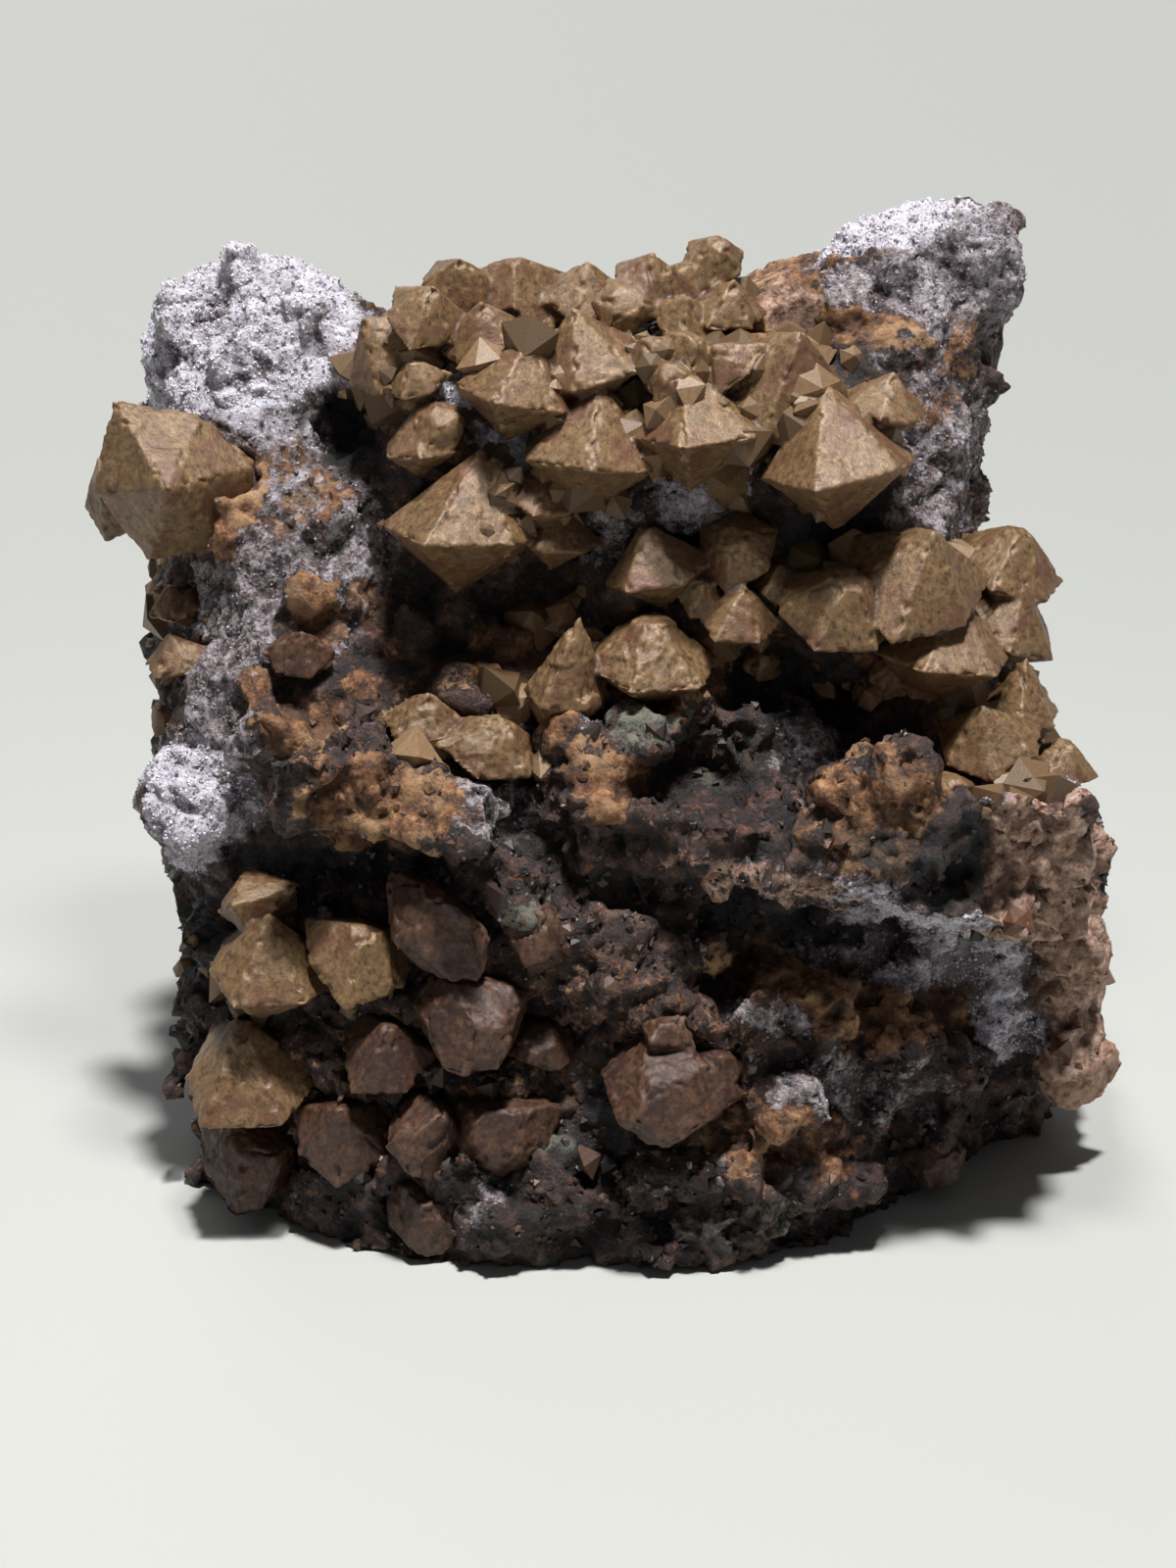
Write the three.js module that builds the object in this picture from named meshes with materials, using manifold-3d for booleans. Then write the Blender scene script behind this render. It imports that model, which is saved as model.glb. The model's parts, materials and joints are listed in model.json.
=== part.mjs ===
// A cabinet specimen of sturmanite: hexagonal pyramid crystals grown on a lump of dark manganese rock.
// Millimetres, +Z up, standing on a flat base at z = 0. The crystal side faces -Y.
import * as THREE from 'three';
import { ConvexGeometry } from 'three/addons/geometries/ConvexGeometry.js';
import { SimplexNoise } from 'three/addons/math/SimplexNoise.js';
import { mergeVertices } from 'three/addons/utils/BufferGeometryUtils.js';
import Module from 'manifold-3d';

// Places are measured as the eye sees the specimen: across, up and towards the eye.
const eyeDistance = 200;      // from the eye to the middle plane of the specimen
const viewPitch = 18;         // degrees that the eye looks down
const middleHeight = 27.1;    // of the middle of the view above the base
const rockDetail = 8;         // subdivision of the rock's surface
const backPlane = 23;         // how far behind the middle of the base the upright back stands
const sideDepth = -4;         // where the rock is widest
const sideTurn = 0.42;        // share of the half ball that makes the side wall
const backShare = 0.78;       // width of the back against the front
const coarseRelief = 1.5;     // height of the coarse roughness
const coarseSpacing = 9;      // distance from one coarse bump to the next
const fineRelief = 0.75;      // height of the fine roughness
const fineSpacing = 3.7;      // distance from one fine bump to the next
const backRelief = 2.8;       // height of the coarse roughness of the broken back
const backSpacing = 15;       // distance from one bump of the back to the next
const largeLump = 4.7;        // lumps wider than this get the finer surface
const socketGap = 0.3;        // clearance between a crystal and what it sits in
const crystalRise = 0.3;      // share of its radius that a crystal's middle stands above the rock
const crystalSlope = 0.94;    // half height of a crystal against its radius
const rootShare = 0.74;       // depth of the lower end against the upper one
const girdleStep = 0.08;      // how much every second corner of the girdle stands out, and the rest stand back
const faceSpread = 0.13;      // how unequally the faces of a crystal have grown
const bondVolume = 0.4;       // crystals that share more than this, in cubic mm, have grown together

const wasm = await Module();
wasm.setup();
const { Manifold, Mesh: SolidMesh } = wasm;

function seededRandom(seed) {
  let state = seed * 7919 + 17;
  return () => {
    state = (state * 1664525 + 1013904223) % 4294967296;
    return state / 4294967296;
  };
}
const relief = new SimplexNoise({ random: seededRandom(5) });

// The three directions of the view, in the part's own frame.
const pitch = THREE.MathUtils.degToRad(viewPitch);
const across = new THREE.Vector3(1, 0, 0);
const upward = new THREE.Vector3(0, Math.sin(pitch), Math.cos(pitch));
const toward = new THREE.Vector3(0, -Math.cos(pitch), Math.sin(pitch));
const middle = new THREE.Vector3(0, 0, middleHeight);

function seen(u, v, w) {
  const nearer = 1 - w / eyeDistance;
  return middle.clone()
    .addScaledVector(across, u * nearer)
    .addScaledVector(upward, v * nearer)
    .addScaledVector(toward, w);
}

function solid(geometry) {
  const bare = geometry.clone();
  bare.deleteAttribute('normal');
  bare.deleteAttribute('uv');
  const merged = mergeVertices(bare, 1e-3);
  return new Manifold(new SolidMesh({
    numProp: 3,
    vertProperties: merged.attributes.position.array,
    triVerts: new Uint32Array(merged.index.array),
  }));
}

function largestBody(shape) {
  return shape.decompose().reduce((best, body) => (body.volume() > best.volume() ? body : best));
}

// The rock. Its outline, clockwise from the left of the upper left lobe, as [across, up].
const rockOutline = [
  [-33.2, 27.5], [-34.4, 32], [-33, 35], [-30, 39.3], [-26.5, 40.7], [-23.5, 40.6], [-20.5, 38.8],
  [-17.5, 37.3], [-15.5, 34.5], [-12, 33.5], [-6, 35], [0, 35.5], [6, 36], [11, 36.8], [13.5, 38.8],
  [16, 39.9], [20, 41], [24, 42.8], [28, 43.3], [30, 43], [31.5, 41], [32, 37.5], [31, 34], [29.4, 32],
  [30.1, 29], [29.8, 25], [28.7, 22], [28.4, 18], [30, 15], [31, 11], [31.8, 7], [33.4, 3],
  [35.8, 0], [36.5, -4], [37, -7], [36.5, -10], [35.6, -13], [35, -16.5], [34.8, -20], [35, -25],
  [33, -32], [26, -38], [15, -43], [0, -44], [-15, -43], [-25, -38], [-29.5, -31], [-29.2, -26],
  [-29.3, -20.5], [-30, -14], [-30, -9.3], [-31.4, -6], [-33.1, -2.1], [-32.7, 0.5], [-31.6, 3.6],
  [-32.8, 6], [-32.4, 10], [-33, 14], [-32.4, 19], [-31.8, 24],
];

// How near each place of the rock's face is, as [across, up, towards the eye].
const rockFace = [
  [-33, 33, 2], [-30, 37, 3], [-25, 39, 4], [-20, 37, 4], [-24, 33, 8], [-28, 28, 8], [-20, 30, 8],
  [-17, 36, 3], [-32, 20, 4], [-26, 22, 9], [-20, 22, 10], [-17.5, 26.5, 5], [-25, 15, 12],
  [-18, 15, 11.5], [-31, 12, 3], [-27, 8, 13], [-20, 8, 13], [-15, 8, 11], [-12, 14, 8], [-8, 11, 7],
  [-4, 12, 6.5], [-15, 20, 9], [-12, 33, 13], [-12, 27, 14.5], [-5, 33, 14], [-5, 27, 15.5],
  [-8, 21, 13], [0, 33, 14.5], [2, 25, 15], [7, 31, 16], [9, 27, 16.5], [8, 36, 11], [0, 37, 10],
  [-6, 37, 9], [4, 20.5, 12.5], [8, 20.5, 13], [13, 22, 15], [18, 24, 16], [15, 37, 9], [20, 40, 7],
  [28, 42, 5], [28, 38, 10], [23, 37, 11], [24, 33, 11], [30, 35, 4], [27, 28, 11], [22, 31, 13],
  [28, 22, 8], [25, 20, 12], [17, 18, 9.5], [12, 16, 11.5], [18, 13, 14.5], [24, 13, 14], [30, 14, 7],
  [31, 8, 9], [27, 6, 12], [5, 15, 12.5], [10, 11.5, 13], [5, 8, 13.5], [13, 7.5, 8.5], [17, 6, 7.5],
  [22, 4.5, 9], [-2, 7, 14], [-4, 2, 14], [1, 0, 18], [5, 3, 13.5], [10, 2, 13], [16, 2.5, 14],
  [-8, 3, 13.5], [-12, 0, 17], [-16, -1.5, 18.5], [-19.5, 0, 18], [-22, 4, 14.5], [-29, -1, 13.5],
  [-31.5, -3, 9], [20, -1, 16.5], [22, -5, 17.5], [26.5, -5, 14], [31, -2, 17], [34, -6, 14],
  [36, -2, 8], [10, -4, 15.5], [14, -4.5, 17], [20, -7, 18.5], [28, -8, 18.5], [-25, -6.5, 9.5],
  [-18, -6.5, 10], [-12, -6, 12.5], [-6, -5, 16], [0, -5, 16.5], [6, -6, 15], [13, -10, 13],
  [20, -12, 9.5], [27, -13, 8.5], [31, -14, 7], [20, -16, 13], [14, -15, 15], [36, -13, 0],
  [37, -19, -9], [30, -18, 7], [22, -19, 13.5], [15, -18, 16.5], [16, -23, 15.5], [25, -23, 8],
  [31, -23, 0], [12, -28, 14.5], [20, -29, 8.5], [25, -27, 3.5], [10, -33, 14.5], [16, -32, 11.5],
  [3, -12, 15.5], [-4, -12, 17], [-9, -15, 16], [-3, -18, 14], [4, -19, 16.5], [6, -24, 15.5],
  [0, -26, 14.5], [-4, -30, 14.5], [0, -34, 14], [6, -33, 15], [-25, -9, 10], [-19, -9, 11],
  [-29.5, -10, 3], [-24, -14, 11], [-17, -13, 13], [-11, -11, 15.5], [-29.5, -17, 4], [-21, -18, 11.5],
  [-26, -22, 9.5], [-18, -22, 12.5], [-13, -20, 14], [-9, -17, 15.5], [-12, -26, 14], [-19, -27, 11],
  [-26, -27, 6.5], [-14, -32, 12.5], [-8, -30, 14], [-23, -30.5, 5.5], [-8, -35, 14.5], [-29, -25, 2],
  [30, -27, -7], [37, -24, -16], [24, -32, 3], [-29, -31, 0], [15, -36, 12], [-15, -36, 12],
];

function faceDepth(u, v) {
  let sum = 0;
  let weights = 0;
  for (const [a, b, w] of rockFace) {
    const weight = 1 / ((u - a) ** 2 + (v - b) ** 2 + 1.5) ** 2.2;
    sum += w * weight;
    weights += weight;
  }
  return sum / weights;
}

const outlineMiddle = new THREE.Vector2(1, 1);
function outlineReach(direction) {
  let reach = 0;
  rockOutline.forEach(([a, b], i) => {
    const [c, d] = rockOutline[(i + 1) % rockOutline.length];
    const ex = c - a;
    const ey = d - b;
    const cross = direction.x * ey - direction.y * ex;
    if (Math.abs(cross) < 1e-9) return;
    const px = a - outlineMiddle.x;
    const py = b - outlineMiddle.y;
    const along = (px * ey - py * ex) / cross;
    const share = (px * direction.y - py * direction.x) / cross;
    if (along > 0 && share >= 0 && share <= 1) reach = Math.max(reach, along);
  });
  return reach;
}

function roughness(p, size, height) {
  return height * relief.noise3d(p.x / size, p.y / size, p.z / size);
}

function smoothBack(depth) {
  return THREE.MathUtils.smoothstep(depth, -0.1, 0.4);
}

// A ball whose front takes the outline and depths above, and whose back is a plain broken face.
function rockBody() {
  const ball = mergeVertices(new THREE.IcosahedronGeometry(1, rockDetail).deleteAttribute('uv')
    .deleteAttribute('normal'), 1e-4);
  const place = ball.attributes.position;
  const p = new THREE.Vector3();
  for (let i = 0; i < place.count; i++) {
    p.fromBufferAttribute(place, i).normalize();
    const z = p.z + sideTurn;
    const flat = new THREE.Vector2(p.x, p.y);
    const polar = Math.atan2(flat.length(), p.z);
    const turn = Math.acos(-sideTurn);
    flat.normalize();
    const reach = outlineReach(flat);
    let spread;
    let w;
    if (z >= 0) {
      const share = polar / turn;
      spread = Math.min(1, share * 1.06);
      const u = outlineMiddle.x + flat.x * reach * spread;
      const v = outlineMiddle.y + flat.y * reach * spread;
      const wall = THREE.MathUtils.smoothstep(1 - share, 0, 0.16);
      w = THREE.MathUtils.lerp(sideDepth, faceDepth(u, v), Math.sqrt(wall));
      spread *= 1 - 0.03 * (1 - wall);
    } else {
      const share = (Math.PI - polar) / (Math.PI - turn);
      const fall = Math.sqrt(1 - share ** 2);
      spread = share ** 0.6 * THREE.MathUtils.lerp(1, backShare, fall ** 2);
      const v = outlineMiddle.y + flat.y * reach * spread;
      w = THREE.MathUtils.lerp(sideDepth, (v * Math.sin(pitch) - backPlane) / Math.cos(pitch), fall);
    }
    const u = outlineMiddle.x + flat.x * reach * spread;
    const v = outlineMiddle.y + flat.y * reach * spread;
    const q = new THREE.Vector3(u, v, w);
    const coarse = z >= 0 ? coarseRelief : backRelief * smoothBack(-z);
    const spacing = z >= 0 ? coarseSpacing : backSpacing;
    const rough = roughness(q, spacing, coarse) + roughness(q, fineSpacing, fineRelief);
    p.copy(seen(u * (1 + rough * 0.004), v * (1 + rough * 0.004), w + rough));
    place.setXYZ(i, p.x, p.y, p.z);
  }
  return solid(ball);
}

// A rough lump or hollow: a small ball stretched along the three directions of the view.
function lump(u, v, w, [acrossSize, upSize, depthSize], turn = 0, rough = 0.1) {
  const detail = Math.max(acrossSize, upSize) > largeLump ? 2 : 1;
  const ball = mergeVertices(new THREE.IcosahedronGeometry(1, detail).deleteAttribute('uv')
    .deleteAttribute('normal'), 1e-4);
  const place = ball.attributes.position;
  const frame = new THREE.Matrix4().makeBasis(across, upward, toward);
  const tilt = new THREE.Matrix4().makeRotationZ(THREE.MathUtils.degToRad(turn));
  const p = new THREE.Vector3();
  for (let i = 0; i < place.count; i++) {
    p.fromBufferAttribute(place, i);
    const bump = 1 + rough * relief.noise3d(p.x * 1.6 + u, p.y * 1.6 + v, p.z * 1.6 + w) * 1.4;
    p.set(p.x * acrossSize, p.y * upSize, p.z * depthSize).multiplyScalar(bump);
    p.applyMatrix4(tilt).applyMatrix4(frame).add(seen(u, v, w));
    place.setXYZ(i, p.x, p.y, p.z);
  }
  return solid(ball);
}

const raisedLumps = [
  // the ledge on the right and the brown lump above it
  [28, -5.4, 12.5, [9.5, 4.6, 7.5], -9],
  [20.5, -6.4, 15, [6.5, 2.2, 5.5], -10],
  [13, -4.4, 14, [6, 2, 4.6], -8],
  [21, -2.8, 17.5, [4.9, 4.6, 4.4], 20],
  [32.5, -4.5, 13, [4.6, 5, 6], 0],
  // the yellow ridge left of the middle
  [-15.2, -1.6, 15, [6.4, 2.2, 5], -8],
  [-29, -1.2, 9.5, [4.2, 4.4, 4.6], 0],
  // the end of the upper right horn
  [28.3, 38.3, 7.5, [3.6, 4.8, 5], 15],
  [22.5, 38.5, 7, [5, 3.2, 4.6], 20],
  // knobs on the lower rim
  [6.3, -33.6, 14, [2.3, 1.9, 2.4], 0],
  [0.6, 0.4, 16.5, [2.6, 2.3, 2.6], 0],
  [14.8, -28, 13, [3.2, 2.6, 2.4], -20],
  // the pale orange mass down the right edge
  [34.4, -12.4, 1, [3.4, 4.4, 6.5], 0],
  [34, -18.4, -2, [3.6, 4.2, 7], 0],
];
const hollows = [
  // the cave under the ledge
  [22.5, -12.6, 15, [11, 3.3, 7], -12],
  [29, -13.4, 12.5, [4.2, 2.4, 5], 0],
  // the shaded band under the yellow ridge
  [-18.5, -6.2, 17, [8.6, 1.5, 5.6], -2],
  // holes in the upper left, under the top crystals and right of the middle
  [-17.6, 26.4, 12, [1.7, 2.6, 4.5], 25],
  [-5.2, 12.4, 14, [4, 2.4, 6], 10],
  [16, 7.3, 15, [5, 1.6, 6], -8],
  [17.2, 17.6, 18, [3.4, 1.5, 6], -6],
  [-0.6, -22.2, 19, [1.5, 3.2, 4], 8],
];

// The corners of one crystal about its own middle, with its axis along z: six round the girdle and one or
// more at each end. A cap is the share of the upper point that has broken off or never grew.
function crystalCorners(radius, slope, cap, random) {
  const uneven = () => faceSpread * (2 * random() - 1);
  const half = radius * slope;
  const point = new THREE.Vector3(radius * uneven(), radius * uneven(), half * (1 + uneven()));
  const root = new THREE.Vector3(radius * uneven(), radius * uneven(), -half * rootShare);
  const girdle = Array.from({ length: 6 }, (_, k) => {
    const turn = (k * Math.PI) / 3;
    const reach = radius * (1 + uneven() + (k % 2 ? -girdleStep : girdleStep));
    return new THREE.Vector3(Math.cos(turn) * reach, Math.sin(turn) * reach, radius * uneven() * 0.5);
  });
  const top = cap > 0 ? girdle.map((corner) => corner.clone().lerp(point, 1 - cap)) : [point];
  return [...girdle, ...top, root];
}

// Crystals as [name, across, up, radius, lean across, lean up, spin in degrees, other measures].
// The lean is that of the crystal's axis, which otherwise points at the eye.
const topCrystals = [
  ['top_crystals', -14.4, 31.6, 4.2, -0.55, 0.6, 10, { rise: 0.2 }],
  ['glint_crystal', -12, 34.3, 3.1, 0.3, 0.55, 20, { rise: 0.8 }],
  ['dark_bud', -12.6, 29.5, 2.3, -0.2, 0.75, 0, { rise: 0.8 }],
  ['left_bud', -10.8, 26.5, 2.2, 0.3, 0.4, 15, { rise: 0.6, cap: 0.5 }],
  ['left_step', -12.2, 24.6, 3, -0.1, 0.92, 30, { rise: 0.3 }],
  ['great_left_crystal', -9, 18.8, 6.2, 0.1, 0.93, 8, { rise: 0.2, slope: 1.05 }],
  ['wedge_bud', -6.6, 22.2, 2, -0.3, 0.85, 40, { rise: 1.6 }],
  ['wedge_crystal', -3.6, 20.9, 3.1, 0.25, 0.88, 25, { rise: 0.6 }],
  ['shelf_crystal', -2.4, 17.9, 3.1, 0.15, 0.93, 10, { rise: 0.7 }],
  ['back_left_crystal', -9.3, 36, 3.4, 0.1, 0.6, 0, { rise: 0 }],
  ['crown_crystal', -5.2, 35.6, 4.6, 0.05, 0.7, 30, { rise: -0.1 }],
  ['saddle_crystal', -6.9, 32.4, 3.8, -0.15, 0.72, 8, { rise: 0.25 }],
  ['notch_crystal', -5, 28.4, 4.7, 0.2, 0.93, 12, { rise: 0.2 }],
  ['arrow_crystal', 0, 30.5, 4.6, -0.2, 0.86, 20, { rise: 0.25 }],
  ['ridge_crystal', 0.4, 24, 5.2, 0.1, 0.94, 28, { rise: 0.22 }],
  ['back_crystal', -0.2, 35.6, 3.4, 0.1, 0.78, 20, { rise: -0.05 }],
  ['six_sided_crystal', 2.7, 35.1, 2.4, 0.1, 0.25, 0, { rise: 0.45, cap: 0.5 }],
  ['small_top_crystal', 4.2, 37, 2.5, 0.2, 0.7, 30, { rise: 0.3 }],
  ['small_brown_crystal', 6.9, 36.6, 2.2, -0.2, 0.5, 10, { rise: 0.4 }],
  ['broken_crown', 9.3, 38.6, 2.4, 0.1, 0.5, 25, { rise: 0.3, cap: 0.3 }],
  ['pale_crystal', 10.1, 34.8, 3.1, 0.1, 0.75, 5, { rise: 0.5 }],
  ['thin_crystal', 6.9, 34, 2.4, 0.1, 0.6, 30, { rise: 0.5 }],
  ['rosette_left', 4.9, 31.2, 2.2, -0.3, 0.5, 10, { rise: 0.9, cap: 0.3 }],
  ['rosette_right', 7.5, 31.7, 2, 0.3, 0.5, 35, { rise: 1.1, cap: 0.25 }],
  ['rosette_front', 6.2, 29.3, 2.3, 0, 0.4, 0, { rise: 1.2, cap: 0.35 }],
  ['overhang_crystal', 8.1, 25.7, 5.5, -0.05, 0.97, 18, { rise: 0.15 }],
  ['blade_crystal', 10.4, 30.8, 2.5, -0.5, 0.6, 0, { rise: 0.9 }],
  ['great_top_crystal', 14.2, 29.2, 5.5, 0.25, 0.62, 18, { rise: 0.25 }],
  ['beak_crystal', 18.2, 23, 6.1, -0.12, 0.95, 14, { rise: 0.3 }],
  ['beak_rider', 21.8, 27.6, 3.2, 0.25, 0.86, 20, { rise: 1.35 }],
];
const middleCrystals = [
  ['pale_block_crystal', 10.8, 17.3, 3.2, -0.2, 0.35, 15, { rise: 0.7, cap: 0.35 }],
  ['triangle_crystal', 4.8, 15.6, 4.1, -0.2, 0.88, 0, { rise: 0.25 }],
  ['triangle_bud', 8.1, 13.9, 1.8, 0.2, 0.3, 20, { rise: 0.8 }],
  ['middle_crystal', 18, 12.6, 4.6, 0.15, 0.72, 12, { rise: 0.4, cap: 0.3 }],
  ['link_crystal', 13.9, 14.5, 2.5, -0.1, 0.8, 0, { rise: 0.5 }],
  ['shaded_crystal', 23.5, 14.9, 5.4, 0.2, 0.62, 20, { rise: 0.3 }],
  ['roof_crystal', 25.8, 9.6, 5.3, 0.15, 0.93, 12, { rise: 0.3 }],
  ['right_upper_crystal', 30.8, 15.6, 4.3, 0.3, 0.82, 10, { rise: 0.1, cap: 0.2 }],
  ['right_lower_crystal', 30.6, 11.4, 4.2, 0.35, 0.8, 30, { rise: 0.1 }],
  ['tall_crystal', 31.8, 5.2, 2.8, 0.1, 0.9, 20, { rise: 0.3, slope: 1.7 }],
  ['glare_crystal', 29.5, 2.9, 3.8, -0.1, 0.75, 24, { rise: 0.5 }],
  ['bead_crystal', 22.3, 7.9, 1.9, 0.1, 0.4, 10, { rise: 0.9 }],
  ['bead_bud', 24.7, 7.1, 1.6, 0.1, 0.5, 40, { rise: 0.8 }],
  ['edge_crystal', 34.6, 1.2, 2.5, 0.2, 0.85, 0, { rise: 0.2, cap: 0.25 }],
  ['corner_crystal', 26.9, -0.8, 2.2, 0.2, 0.5, 30, { rise: 0.6 }],
  ['rough_crystal', 4.5, 8.9, 4.9, 0, 0.88, 15, { rise: 0.15, cap: 0.25 }],
  ['rough_neighbour', 11, 12.1, 3, 0.1, 0.75, 0, { rise: 0.4 }],
  ['rough_bud', 12.7, 8.8, 1.5, 0.2, 0.3, 20, { rise: 0.9 }],
  ['middle_prism', -1.7, 6.6, 3, 0.14, 0.88, 0, { rise: 0.2, slope: 1.85 }],
  ['broken_crystal', -7.4, 2.7, 3.7, 0.25, 0.75, 25, { rise: 0.4, cap: 0.3 }],
  ['pale_tip_crystal', -12.2, 4.6, 2.8, 0.1, 0.75, 0, { rise: 0.4 }],
  ['brown_pyramid', -21.3, 9.5, 2.6, 0.05, 0.7, 0, { rise: 0.25 }],
];
const leftCrystals = [
  ['great_side_crystal', -30.1, 22.5, 5.9, 0.12, -0.2, 15, { rise: 0.7 }],
  ['side_crystal', -33.9, 21.4, 3.4, -0.3, 0.3, 0, { depth: 6.5 }],
  ['edge_upper_crystal', -29.9, 13, 2.4, -0.2, 0.85, 20, { rise: 0.5 }],
  ['edge_lower_crystal', -30, 9.3, 2.5, -0.2, 0.8, 0, { rise: 0.4 }],
  ['edge_bud', -31, 4.9, 1.7, -0.2, 0.3, 0, { depth: 6 }],
];
const lowerCrystals = [
  ['spindle_crystal', -24.7, -8.7, 2.6, 0.9, 0.3, 0, { rise: 0.9, slope: 1.45 }],
  ['lower_left_crystal', -23.7, -14, 4.9, 0.1, 0.9, 10, { rise: 0.5 }],
  ['lower_pair_crystal', -17.2, -12.6, 4.2, 0.22, 0.62, 30, { rise: 0.5, cap: 0.2 }],
  ['rough_block', -11.2, -10.4, 4.3, 0.15, 0.5, 12, { rise: 0.4, cap: 0.25 }],
  ['yellow_crystal', -25, -21.4, 5.4, -0.05, 0.75, 0, { rise: 0.3, cap: 0.2 }],
  ['red_brown_crystal', -24.6, -27, 4.3, -0.1, 0.5, 20, { rise: 0.2, cap: 0.3 }],
  ['dark_pyramid', -18.2, -25.6, 4, 0, 0.45, 30, { rise: 0.25 }],
  ['small_lower_crystal', -15, -19.6, 3.5, 0.1, 0.5, 0, { rise: 0.2 }],
  ['dark_red_crystal', -8.8, -17, 4.4, 0, 0.5, 15, { rise: 0.25, cap: 0.3 }],
  ['plate_crystal', -12, -25.6, 3.4, 0.5, 0.5, 0, { rise: 0.15 }],
  ['lower_block', -6.2, -25.8, 3.7, 0, 0.4, 30, { rise: 0.15, cap: 0.35 }],
  ['red_lump_crystal', -3.6, -11.2, 3.3, 0.1, 0.5, 10, { rise: 0.2, cap: 0.2 }],
  ['small_dark_block', -3.2, -19.4, 2.7, -0.2, 0.6, 0, { rise: 0.15, cap: 0.3 }],
  ['low_rim_block', -11.8, -31.6, 3.3, 0, 0.3, 20, { rise: 0.1, cap: 0.3 }],
  ['brown_table_crystal', 5.8, -22.8, 4.9, 0.1, 0.7, 0, { rise: 0.3, cap: 0.4 }],
  ['table_bud', 8.9, -21.2, 2, 0.1, 0.6, 30, { rise: 0.7 }],
  ['pale_spindle', 5.6, -18.6, 1.9, 0.85, -0.4, 0, { rise: 0.5, slope: 1.4 }],
  ['right_knob', 36.4, -13.6, 2.6, 0.4, 0.4, 0, { depth: 1.5, cap: 0.2 }],
  ['right_low_knob', 35.6, -20.4, 3.7, 0.3, 0.3, 20, { depth: 1, cap: 0.3 }],
  ['low_corner_block', 25.4, -27.6, 2.7, 0.2, 0.6, 0, { rise: 0.3, cap: 0.3 }],
];
// Small crystals too small to be pieces of their own, grown fast to the rock.
const buds = [
  ['bud', -27, 17.6, 1.3, 0.1, 0.5, 0, {}], ['bud', -22, 24.6, 1.2, 0, 0.3, 20, {}],
  ['bud', -17, 6.6, 1.5, 0.2, 0.6, 0, {}],
  ['bud', 1.6, 20.6, 1.6, 0.1, 0.6, 10, {}], ['bud', 8.8, 22, 1.5, -0.1, 0.5, 0, {}],
  ['bud', 11.4, 21.6, 1.3, 0.2, 0.6, 20, {}], ['bud', 20.3, 8.7, 1.3, 0, 0.5, 0, { rise: 0.6 }],
  ['bud', 27.6, 6.4, 1.3, 0.2, 0.6, 0, { rise: 0.6 }], ['bud', -3.4, 2.2, 1.6, 0.3, 0.5, 0, {}],
  ['bud', -10.6, 2.2, 1.4, -0.2, 0.6, 0, {}], ['bud', -20, -9.6, 1.6, 0.1, 0.6, 20, {}],
  ['bud', -13.6, -15.6, 1.8, 0, 0.5, 0, {}], ['bud', -1.4, -16.2, 1.7, 0.2, 0.5, 10, {}],
  ['bud', -6.8, -21.8, 1.8, -0.1, 0.5, 0, {}], ['bud', -11.6, -21, 1.7, 0.3, 0.5, 30, {}],
  ['bud', 12.6, -22.6, 1.6, 0.1, 0.4, 0, {}],
  ['bud', 20.4, -25.6, 1.7, 0, 0.5, 20, {}], ['bud', 31, -24.4, 1.8, 0.4, 0.3, 0, {}],
  ['bud', -15.6, -30, 1.8, 0.1, 0.5, 0, {}], ['bud', -1.4, -31, 1.7, -0.1, 0.4, 10, {}],
  ['bud', -28.6, -18, 1.8, -0.4, 0.4, 0, {}], ['bud', 3.6, -8.6, 1.5, 0.1, 0.5, 0, {}],
  // on the sides and the back, where the photograph shows nothing
  ['bud', 27.6, 24, 2.2, 0.9, 0.2, 0, { depth: -4 }], ['bud', 34.2, -4, 2.6, 0.9, 0.1, 10, { depth: -8 }],
  ['bud', 32, 3, 2.4, 0.9, 0.2, 20, { depth: -10 }], ['bud', -31.6, 10, 2.4, -0.9, 0.2, 0, { depth: -8 }],
  ['bud', -28.4, -18, 2.6, -0.9, 0.1, 15, { depth: -9 }], ['bud', -32, 27, 2.2, -0.9, 0.3, 0, { depth: -6 }],
];

function crystalFrom([name, u, v, radius, leanAcross, leanUp, spin, measures], index) {
  const { rise = crystalRise, slope = crystalSlope, cap = 0, depth } = measures;
  const corners = crystalCorners(radius, slope, cap, seededRandom(index + 3));
  const leanToward = Math.sqrt(Math.max(0.02, 1 - leanAcross ** 2 - leanUp ** 2));
  const axis = new THREE.Vector3().addScaledVector(across, leanAcross)
    .addScaledVector(upward, leanUp).addScaledVector(toward, leanToward).normalize();
  const turn = new THREE.Quaternion().setFromUnitVectors(new THREE.Vector3(0, 0, 1), axis)
    .multiply(new THREE.Quaternion().setFromAxisAngle(new THREE.Vector3(0, 0, 1),
      THREE.MathUtils.degToRad(spin)));
  const seat = seen(u, v, depth ?? faceDepth(u, v) + rise * radius);
  const faceReach = radius * slope * Math.cos(Math.PI / 6) / Math.hypot(slope, Math.cos(Math.PI / 6));
  const shape = (gap) => solid(new ConvexGeometry(corners.map((corner) => corner.clone()
    .multiplyScalar(1 + gap / (faceReach * (1 - faceSpread * 2))).applyQuaternion(turn).add(seat))));
  return { name, body: shape(0), socket: shape(socketGap) };
}

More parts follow.
